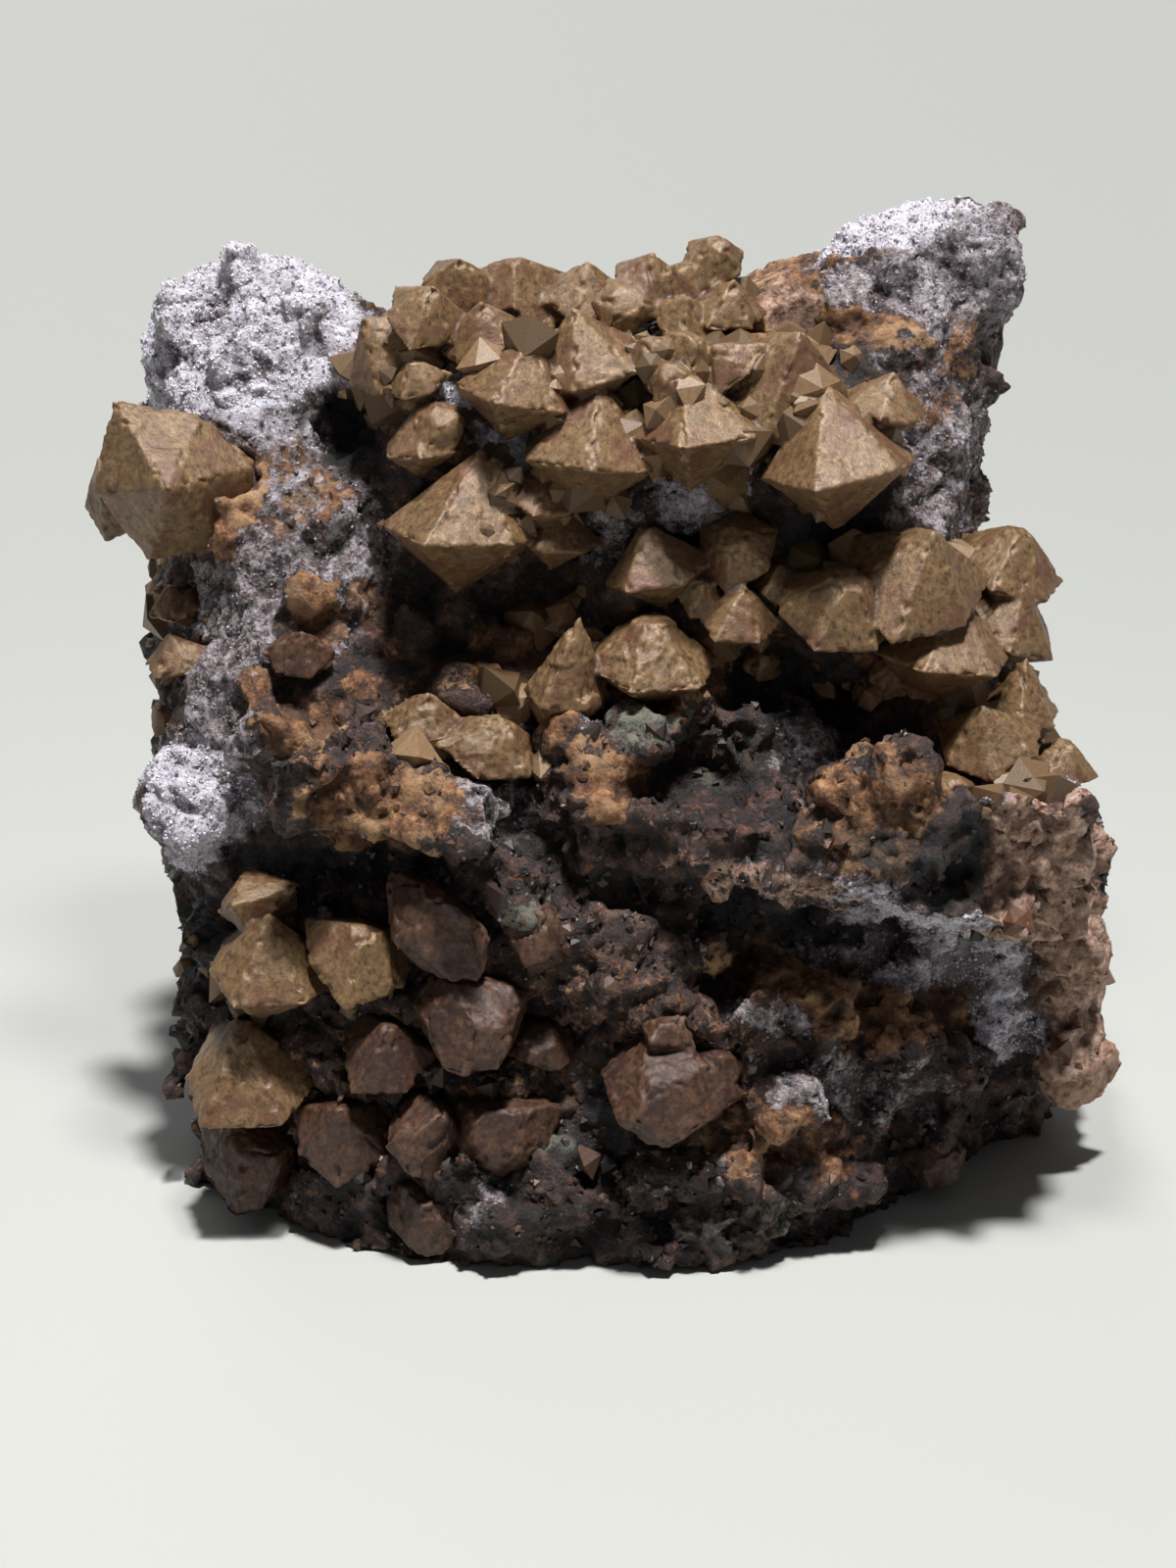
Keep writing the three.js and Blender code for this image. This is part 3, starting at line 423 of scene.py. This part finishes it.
# finishes
class Finish:
    def __init__(self, name):
        self.material = bpy.data.materials.new(name)
        self.material.use_nodes = True
        self.tree = self.material.node_tree
        self.shader = self.tree.nodes["Principled BSDF"]
        self.place = self.tree.nodes.new("ShaderNodeTexCoord").outputs["Object"]

    def add(self, kind, settings, inputs):
        made = self.tree.nodes.new(kind)
        for key, value in settings.items():
            setattr(made, key, value)
        self.connect(made, inputs)
        return made

    # A value is a number, a colour, the output of another node, or None to leave the input alone.
    def connect(self, node, inputs):
        for key, value in inputs.items():
            if isinstance(value, bpy.types.NodeSocket):
                self.tree.links.new(value, node.inputs[key])
            elif value is not None:
                node.inputs[key].default_value = value

    def noise(self, size, detail, rough=0.6, stretch=None):
        place = self.place
        if stretch:
            place = self.add("ShaderNodeMapping", {}, {"Vector": place, "Scale": stretch}).outputs[0]
        inputs = {"Vector": place, "Scale": 1 / (size * mm), "Detail": detail, "Roughness": rough}
        return self.add("ShaderNodeTexNoise", {}, inputs).outputs["Fac"]

    def cells(self, size):
        inputs = {"Vector": self.place, "Scale": 1 / (size * mm)}
        return self.add("ShaderNodeTexVoronoi", {}, inputs).outputs["Distance"]

    def ramp(self, factor, *stops):
        made = self.add("ShaderNodeValToRGB", {}, {"Fac": factor})
        points = made.color_ramp.elements
        while len(points) < len(stops):
            points.new(0.5)
        for point, (position, colour) in zip(points, stops):
            point.position = position
            point.color = (*colour, 1)
        return made.outputs["Color"]

    def mix(self, factor, first, second, blend="MIX"):
        colours = [c if isinstance(c, bpy.types.NodeSocket) else (*c, 1) for c in (first, second)]
        inputs = {0: factor, 6: colours[0], 7: colours[1]}
        return self.add("ShaderNodeMix", {"data_type": "RGBA", "blend_type": blend}, inputs).outputs[2]

    def math(self, operation, *values):
        return self.add("ShaderNodeMath", {"operation": operation}, dict(enumerate(values))).outputs[0]

    def range(self, value, low, high, toLow=0.0, toHigh=1.0):
        inputs = {0: value, 1: low, 2: high, 3: toLow, 4: toHigh}
        return self.add("ShaderNodeMapRange", {}, inputs).outputs[0]

    def field(self, name):
        return self.add("ShaderNodeAttribute", {"attribute_name": name}, {}).outputs["Fac"]

    # A patch of the surface with an edge that the speckle breaks up.
    def patch(self, name, speckle, spread=2.2, soft=0.12):
        broken = self.math("MULTIPLY_ADD", speckle, spread, -spread / 2)
        return self.range(self.math("ADD", self.field(name), broken), 0.5 - soft, 0.5 + soft)

    def bump(self, height, distance, under=None):
        inputs = {"Height": height, "Distance": distance * mm, "Normal": under}
        return self.add("ShaderNodeBump", {}, inputs).outputs["Normal"]

    def use(self, colour, roughness, normal=None):
        self.connect(self.shader, {"Base Color": colour, "Roughness": roughness, "Normal": normal})
        return self.material


# colours, and ramps of them as (place along the ramp, colour)
rockColours = {
    "stone": [(0.36, (0.006, 0.004, 0.004)), (0.48, (0.020, 0.011, 0.010)), (0.58, (0.060, 0.030, 0.021)),
              (0.70, (0.12, 0.075, 0.058))],
    "flecks": (0.26, 0.21, 0.21),
    "brownFlecks": (0.18, 0.065, 0.024),
    "rust": [(0.37, (0.022, 0.010, 0.007)), (0.46, (0.095, 0.038, 0.016)), (0.55, (0.22, 0.100, 0.040)),
             (0.68, (0.44, 0.25, 0.13))],
    "rustDust": (0.34, 0.205, 0.105),
    "pale": [(0.38, (0.10, 0.050, 0.034)), (0.49, (0.29, 0.165, 0.11)), (0.66, (0.58, 0.42, 0.35))],
    "crust": [(0.34, (0.20, 0.165, 0.18)), (0.43, (0.42, 0.39, 0.43)), (0.54, (0.58, 0.56, 0.63)),
              (0.70, (0.76, 0.75, 0.83))],
    "dullCrust": [(0.38, (0.075, 0.050, 0.048)), (0.47, (0.19, 0.155, 0.16)), (0.56, (0.34, 0.31, 0.34)),
                  (0.70, (0.66, 0.64, 0.69))],
    "green": (0.125, 0.13, 0.10),
    # near-black of the painted shade
    "dark": (0.010, 0.009, 0.011),
    # grime and painted shade for the crevices
    "dirtAndShade": (0.25, 0.18, 0.16),
    # wear and painted highlight on what stands out
    "wearAndHighlight": (1.0, 0.95, 0.9),
}


def rockFinish():
    f = Finish("brokenRock")
    fine = f.noise(0.3, 6, 0.7)
    stone = f.ramp(f.noise(1.3, 7, 0.68), *rockColours["stone"])
    stone = f.mix(f.range(fine, 0.62, 0.70), stone, rockColours["flecks"])
    stone = f.mix(f.range(f.noise(1.1, 6, 0.72), 0.59, 0.65), stone, rockColours["brownFlecks"])
    rust = f.ramp(f.noise(1.2, 8, 0.74), *rockColours["rust"])
    rust = f.mix(f.range(f.noise(4.0, 3), 0.50, 0.60, 0, 0.6), rust, rockColours["rustDust"])
    pale = f.ramp(f.noise(0.9, 8, 0.74), *rockColours["pale"])
    speckle = f.noise(0.42, 8, 0.8)
    crust = f.mix(f.range(f.field("crust"), 0.62, 0.92), f.ramp(speckle, *rockColours["dullCrust"]),
                  f.ramp(speckle, *rockColours["crust"]))
    spots = f.noise(0.7, 6, 0.7)
    colour = f.mix(f.patch("rust", spots), stone, rust)
    colour = f.mix(f.patch("pale", spots), colour, pale)
    colour = f.mix(f.patch("green", spots), colour, rockColours["green"])
    colour = f.mix(f.patch("crust", f.noise(0.9, 8, 0.75)), colour, crust)
    # near-black painted shade over the recesses, the undersides and the shadowed edges
    colour = f.mix(f.math("MULTIPLY", f.patch("dark", spots, 1.6, 0.3), 0.9), colour, rockColours["dark"])
    # crevices are darkened with painted shade and grime, and what stands out is made paler by wear and a
    # painted highlight
    hollows = f.range(f.field("height"), 0.0, -0.5, 0, 0.8)
    edges = f.range(f.field("edge"), 0.02, 0.10, 0, 0.35)
    colour = f.mix(hollows, colour, rockColours["dirtAndShade"], "MULTIPLY")
    # edges made paler by wear and a painted highlight
    colour = f.mix(edges, colour, rockColours["wearAndHighlight"], "SOFT_LIGHT")
    roughness = f.range(f.noise(0.4, 2), 0.35, 0.65, 0.42, 0.85)
    return f.use(colour, roughness, f.bump(f.noise(0.16, 6, 0.75), 0.14, f.bump(f.cells(0.28), 0.07)))


crystalColours = {
    "goldenCrystal": {"shadows": (0.040, 0.021, 0.011), "body": (0.145, 0.085, 0.038),
                      "lights": (0.28, 0.172, 0.084), "blush": (0.120, 0.050, 0.030),
                      "rough": 0.38, "metal": 0.12},
    "paleBrownCrystal": {"shadows": (0.13, 0.060, 0.034), "body": (0.29, 0.155, 0.095),
                         "lights": (0.48, 0.31, 0.22), "blush": (0.22, 0.10, 0.06),
                         "rough": 0.5, "metal": 0},
    "brownCrystal": {"shadows": (0.012, 0.006, 0.005), "body": (0.052, 0.022, 0.012),
                     "lights": (0.135, 0.066, 0.034), "blush": (0.030, 0.011, 0.009),
                     "rough": 0.48, "metal": 0},
    # grime and painted shade for the hollows
    "dirtAndShade": (0.20, 0.12, 0.10),
}


def crystalFinish(name):
    f = Finish(name)
    look = crystalColours[name]
    shadows, lights = look["shadows"], look["lights"]
    f.shader.inputs["Metallic"].default_value = look["metal"]
    colour = f.ramp(f.noise(0.5, 8, 0.75), (0.34, shadows), (0.47, look["body"]), (0.64, lights))
    colour = f.mix(f.range(f.noise(3.2, 6, 0.65), 0.50, 0.62, 0, 0.75), colour, look["blush"])
    colour = f.mix(f.range(f.noise(1.0, 7, 0.72), 0.57, 0.66, 0, 0.7), colour, shadows)
    colour = f.mix(f.range(f.noise(0.8, 7, 0.7, (1, 1, 0.4)), 0.60, 0.68, 0, 0.6), colour, lights)
    # edges that stand out take the pale colour: wear and a painted highlight
    colour = f.mix(f.range(f.field("edge"), 0.035, 0.09, 0, 0.45), colour, lights)
    # hollows darkened with painted shade and grime
    hollows = f.range(f.field("height"), -0.03, -0.30, 0, 0.9)
    colour = f.mix(hollows, colour, crystalColours["dirtAndShade"], "MULTIPLY")
    roughness = f.range(f.noise(0.7, 5, 0.7), 0.35, 0.65, look["rough"] - 0.12, look["rough"] + 0.18)
    waves = f.bump(f.noise(0.9, 5, 0.6, (1, 1, 0.35)), 0.10)
    return f.use(colour, roughness, f.bump(f.noise(0.2, 8, 0.72), 0.05, waves))


# each grain has its own place along the tones, and takes the hue of rusty, dusty or dull ground
grainColours = {
    "druse": {"tones": [(0.0, (0.34, 0.30, 0.33)), (0.3, (0.50, 0.48, 0.53)), (1.0, (0.72, 0.71, 0.79))],
              "rough": 0.40, "dull": (0.13, 0.105, 0.11)},
    "crumbs": {"tones": [(0.0, (0.008, 0.005, 0.005)), (0.55, (0.035, 0.018, 0.014)),
                         (0.93, (0.105, 0.055, 0.036)), (1.0, (0.36, 0.31, 0.30))],
               "rough": 0.5, "rusty": (0.125, 0.055, 0.025), "dusty": (0.26, 0.235, 0.25)},
    "smallGold": {"tones": [(0.0, (0.090, 0.052, 0.025)), (0.5, (0.15, 0.088, 0.041)),
                            (1.0, (0.25, 0.155, 0.082))],
                  "rough": 0.5},
}


def grainFinish(name):
    f = Finish(name)
    look = grainColours[name]
    colour = f.ramp(f.field("tone"), *look["tones"])
    if "rusty" in look:
        colour = f.mix(f.range(f.field("rust"), 0.35, 0.6, 0, 0.85), colour, look["rusty"])
        colour = f.mix(f.range(f.field("crust"), 0.35, 0.6, 0, 0.7), colour, look["dusty"])
    if "dull" in look:
        colour = f.mix(f.range(f.field("crust"), 0.92, 0.60, 0, 0.85), colour, look["dull"])
    darkest = look["tones"][0][1]
    colour = f.mix(f.range(f.noise(0.3, 5, 0.7), 0.4, 0.65, 0, 0.55), colour, darkest)
    return f.use(colour, look["rough"], f.bump(f.noise(0.15, 4), 0.03))


finishes = {
    "rock": rockFinish(),
    "gold": crystalFinish("goldenCrystal"),
    "paleBrown": crystalFinish("paleBrownCrystal"),
    "brown": crystalFinish("brownCrystal"),
    "druse": grainFinish("druse"),
    "crumbs": grainFinish("crumbs"),
    "smallGold": grainFinish("smallGold"),
}


def finished(obj, finish, slot, *nodes):
    obj.data.materials.clear()
    obj.data.materials.append(finishes[finish])
    if nodes:
        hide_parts(*nodes)
    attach(obj, "root")


finished(rock, "rock", "matrix_rock", "matrix")
print("finishes made")


# the crystals
crystalLook = {
    "grid": 0.17,
    "waves": 0.06, "waveSize": 1.8,
    "steps": 0.05, "stepSize": 2.4,
    "chips": 0.32, "chipSize": 0.8, "chipContrast": 3, "chipFrom": 0.2,
    "chipRounds": 6, "chipEdge": 0.06,      # an edge that stands out this far is chipped in full
    # broken and weathered ones, which are more uneven
    "rough": ["rough_block", "rough_crystal", "dark_red_crystal", "red_brown_crystal", "broken_crystal",
              "brown_table_crystal", "lower_block", "red_lump_crystal", "right_low_knob",
              "low_corner_block", "plate_crystal", "small_dark_block", "low_rim_block"],
    "crumble": 0.14, "crumbleSize": 2.2,
    "lumps": 0.07, "lumpSize": 1.3,
    "grit": 0.06, "gritSize": 0.5,
    "uncut": ["rough_crystal", "broken_crystal"],    # several crystals each, which cuts would shorten
    "cuts": 13, "cutDepth": 0.30, "shallowest": 0.3, "grown": 1.14, "cutSeed": 5,
    "edgeRounds": 4, "heightRounds": 30,
    "pale": ["right_knob", "right_low_knob"],        # of pale brown stone
}


# Flat cuts at random tilts through the grown shape, which leave it with broken faces.
def cutFlat(obj, seed):
    rng = np.random.default_rng(seed)
    places = vertexPlaces(obj)
    middle = places.mean(axis=0)
    places = middle + (places - middle) * crystalLook["grown"]
    for _ in range(crystalLook["cuts"]):
        way = rng.normal(size=3)
        way /= np.linalg.norm(way)
        along = (places - middle) @ way
        limit = along.max() * (1 - crystalLook["cutDepth"] * rng.uniform(crystalLook["shallowest"], 1))
        places -= np.outer(np.clip(along - limit, 0, None), way)
    moveVertices(obj, places)


def shapeCrystal(obj, rough):
    places = vertexPlaces(obj)
    worn = np.clip(standingOut(obj, crystalLook["chipRounds"]) / crystalLook["chipEdge"], 0, 1)
    chipped = noiseField(places, crystalLook["chipSize"], 5) * crystalLook["chipContrast"]
    relief = (noiseField(places, crystalLook["waveSize"]) * crystalLook["waves"]
              + blockField(places, crystalLook["stepSize"], 3)[0] * crystalLook["steps"])
    relief -= worn * np.clip(chipped - crystalLook["chipFrom"], 0, 1) * crystalLook["chips"]
    if rough:
        relief += (blockField(places, crystalLook["crumbleSize"], 8)[0] * crystalLook["crumble"]
                   + noiseField(places, crystalLook["lumpSize"]) * crystalLook["lumps"]
                   + noiseField(places, crystalLook["gritSize"]) * crystalLook["grit"])
    pushOut(obj, relief)
    storeField(obj, "edge", standingOut(obj, crystalLook["edgeRounds"]))
    storeField(obj, "height", standingOut(obj, crystalLook["heightRounds"]))


dressed = {}
slots = {part["node"]: part["material_slot"] for part in frame["record"]["subparts"]}
for node in sorted(frame["nodes"]):
    if node == "matrix":
        continue
    crystal = copyNode(node, node + "_dressed")
    remesh(crystal, crystalLook["grid"])
    rough = node in crystalLook["rough"]
    if rough and node not in crystalLook["uncut"]:
        cutFlat(crystal, len(dressed) + crystalLook["cutSeed"])
    shapeCrystal(crystal, rough)
    dressed[node] = crystal
    finish = "gold" if slots[node] == "gold_crystal" else "brown"
    if node in crystalLook["pale"]:
        finish = "paleBrown"
    finished(crystal, finish, slots[node], node)
print("crystals dressed")


# grains, crumbs and small crystals strewn over the rock
octahedron = ([[1, 0, 0], [0, 1, 0], [-1, 0, 0], [0, -1, 0], [0, 0, 1], [0, 0, -1]],
              [[0, 1, 4], [1, 2, 4], [2, 3, 4], [3, 0, 4], [1, 0, 5], [2, 1, 5], [3, 2, 5], [0, 3, 5]])
sixths = [[math.cos(k * math.pi / 3), math.sin(k * math.pi / 3), 0] for k in range(6)]
bipyramid = (sixths + [[0, 0, 0.9], [0, 0, -0.9]],
             [[k, (k + 1) % 6, 6] for k in range(6)] + [[(k + 1) % 6, k, 7] for k in range(6)])
# sizes are half widths, and lift is how far the middle stands above the ground, in half widths
strewn = {
    "drusyGrains": {"shape": octahedron, "seed": 3, "number": 24500, "sizes": [0.08, 0.20],
                    "lift": 0.1, "lean": 0.9, "uneven": 0.15},
    "brownCrumbs": {"shape": octahedron, "seed": 4, "number": 9000, "sizes": [0.12, 0.42],
                    "lift": -0.1, "lean": 1.0, "uneven": 0.25},
    "smallBrownCrystals": {"shape": bipyramid, "seed": 5, "number": 420, "sizes": [0.4, 1.2],
                           "lift": -0.3, "lean": 0.4, "uneven": 0.2},
    "smallGoldCrystals": {"shape": bipyramid, "seed": 6, "number": 420, "sizes": [0.5, 2.6],
                          "lift": 0.0, "lean": 0.4, "uneven": 0.1},
    "crownCrystals": {"shape": bipyramid, "seed": 7, "number": 120, "sizes": [0.45, 2.2],
                      "lift": -0.1, "lean": 0.35, "uneven": 0.1},
    "gathering": 1.5,       # the higher, the more they keep to where the weights are high
    "smallness": 2.5,       # the higher, the fewer large ones
    "druseFrom": 0.3, "druseOffSides": 0.6, "crumbsOffRust": 0.7, "crumbsAnywhere": 0.12,
    "crownHollows": 3, "crownAnywhere": 0.03,
}


# Many copies of one small shape, turned and sized at random, on the faces of another piece.
def strew(name, carrier, weights, shape, seed, number, sizes, lift, lean, uneven):
    rng = np.random.default_rng(seed)
    mesh = carrier.data
    mesh.calc_loop_triangles()
    corners = np.empty(len(mesh.loop_triangles) * 3, np.int32)
    mesh.loop_triangles.foreach_get("vertices", corners)
    corners = corners.reshape(-1, 3)
    places = vertexPlaces(carrier)
    a, b, c = (places[corners[:, k]] for k in range(3))
    facing = np.cross(b - a, c - a)
    areas = np.linalg.norm(facing, axis=1)
    chances = areas * np.clip(weights[corners].mean(axis=1), 0, None) ** strewn["gathering"]
    chosen = rng.choice(len(corners), number, p=chances / chances.sum())
    r1, r2 = np.sqrt(rng.random(number))[:, None], rng.random(number)[:, None]
    spots = (1 - r1) * a[chosen] + r1 * (1 - r2) * b[chosen] + r1 * r2 * c[chosen]
    axis = facing[chosen] / areas[chosen, None]
    wide = (sizes[0] + (sizes[1] - sizes[0]) * rng.random(number) ** strewn["smallness"]) * mm
    spots += axis * (wide * lift)[:, None]
    axis = axis + rng.normal(size=(number, 3)) * lean
    axis /= np.linalg.norm(axis, axis=1)[:, None]
    side = np.cross(axis, rng.normal(size=(number, 3)))
    side /= np.linalg.norm(side, axis=1)[:, None]
    other = np.cross(axis, side)
    corner = np.array(shape[0], float)
    own = corner[None] * (1 + uneven * rng.normal(size=(number, len(corner), 1)))
    points = side[:, None] * own[:, :, :1] + other[:, None] * own[:, :, 1:2] + axis[:, None] * own[:, :, 2:]
    points = points * wide[:, None, None] + spots[:, None]
    points[:, :, 2] = np.maximum(points[:, :, 2], 0)
    faces = np.array(shape[1])[None] + (np.arange(number) * len(corner))[:, None, None]
    obj = addMesh(name, points.reshape(-1, 3).tolist(), faces.reshape(-1, 3).tolist())
    storeField(obj, "tone", np.repeat(rng.random(number), len(corner)))
    for field in ("crust", "rust"):      # each piece remembers the ground that it lies on
        if field in mesh.attributes:
            storeField(obj, field, np.repeat(readField(carrier, field)[corners[chosen, 0]], len(corner)))
    return obj


crown = dressed["top_crystals"]
bare = ground["broken"] * (1 - ground["crust"])
druse = np.clip(ground["crust"] - strewn["druseFrom"], 0, 1) * (1 - strewn["druseOffSides"] * ground["sides"])
crumbs = bare * (1 - strewn["crumbsOffRust"] * ground["rust"]) + strewn["crumbsAnywhere"]
hollows = readField(crown, "height") * -strewn["crownHollows"]
layers = [
    ["drusyGrains", rock, druse, "druse"],
    ["brownCrumbs", rock, np.clip(crumbs, 0, 1), "crumbs"],
    ["smallBrownCrystals", rock, bare * (1 - ground["gold"]), "crumbs"],
    ["smallGoldCrystals", rock, ground["gold"], "smallGold"],
    ["crownCrystals", crown, np.clip(hollows, strewn["crownAnywhere"], 1), "smallGold"],
]
for name, carrier, weights, finish in layers:
    grains = strew(name, carrier, weights, **strewn[name])
    finished(grains, finish, "matrix_rock" if carrier is rock else "gold_crystal")
print("grains strewn")


# camera, floor and light
cameraData = bpy.data.cameras.new("camera")
cameraData.sensor_fit = "VERTICAL"
cameraData.sensor_height = cameraView["sensor"]
cameraData.lens = cameraView["sensor"] * cameraView["distance"] / (cameraView["pixel"] * cameraView["pixels"])
cameraData.clip_start = 0.01
camera = addObject("camera", cameraData)
camera.location = cameraView["middle"] + toward * cameraView["distance"]
camera.rotation_euler = (math.radians(90) - pitch, 0, 0)
bpy.context.scene.camera = camera

stageLook = {
    "floorSize": 8, "floorColour": (0.44, 0.445, 0.42, 1), "floorRough": 0.7,
    "sky": (0.88, 0.93, 1.0, 1), "skyStrength": 0.10,
    "lit": Vector((0, 0, 30)) * mm,     # where the lights are aimed
    # places in millimetres, and the size of a sun as an angle
    "lights": {
        "key": {"kind": "SUN", "place": (14, -36, 230), "energy": 4.1, "angle": math.radians(5)},
        "lamp": {"kind": "AREA", "place": (5, -55, 180), "energy": 0.15, "size": 24 * mm},
        "backFill": {"kind": "SUN", "place": (-60, 160, 150), "energy": 0.5, "angle": math.radians(40)},
    },
}
bpy.ops.object.select_all(action="DESELECT")
bpy.ops.mesh.primitive_plane_add(size=stageLook["floorSize"])
floor = bpy.context.object
floor.name = "floor"
floor.data.materials.append(Finish("paleFloor").use(stageLook["floorColour"], stageLook["floorRough"]))

for name, look in stageLook["lights"].items():
    data = bpy.data.lights.new(name, look["kind"])
    data.energy = look["energy"]
    if look["kind"] == "SUN":
        data.angle = look["angle"]
    else:
        data.size = look["size"]
    light = addObject(name, data)
    light.location = Vector(look["place"]) * mm
    light.rotation_euler = (stageLook["lit"] - light.location).to_track_quat("-Z", "Y").to_euler()
world = bpy.data.worlds.new("studio")
world.use_nodes = True
world.node_tree.nodes["Background"].inputs[0].default_value = stageLook["sky"]
world.node_tree.nodes["Background"].inputs[1].default_value = stageLook["skyStrength"]
bpy.context.scene.world = world
bpy.context.scene.view_settings.view_transform = "Standard"
print("stage set")
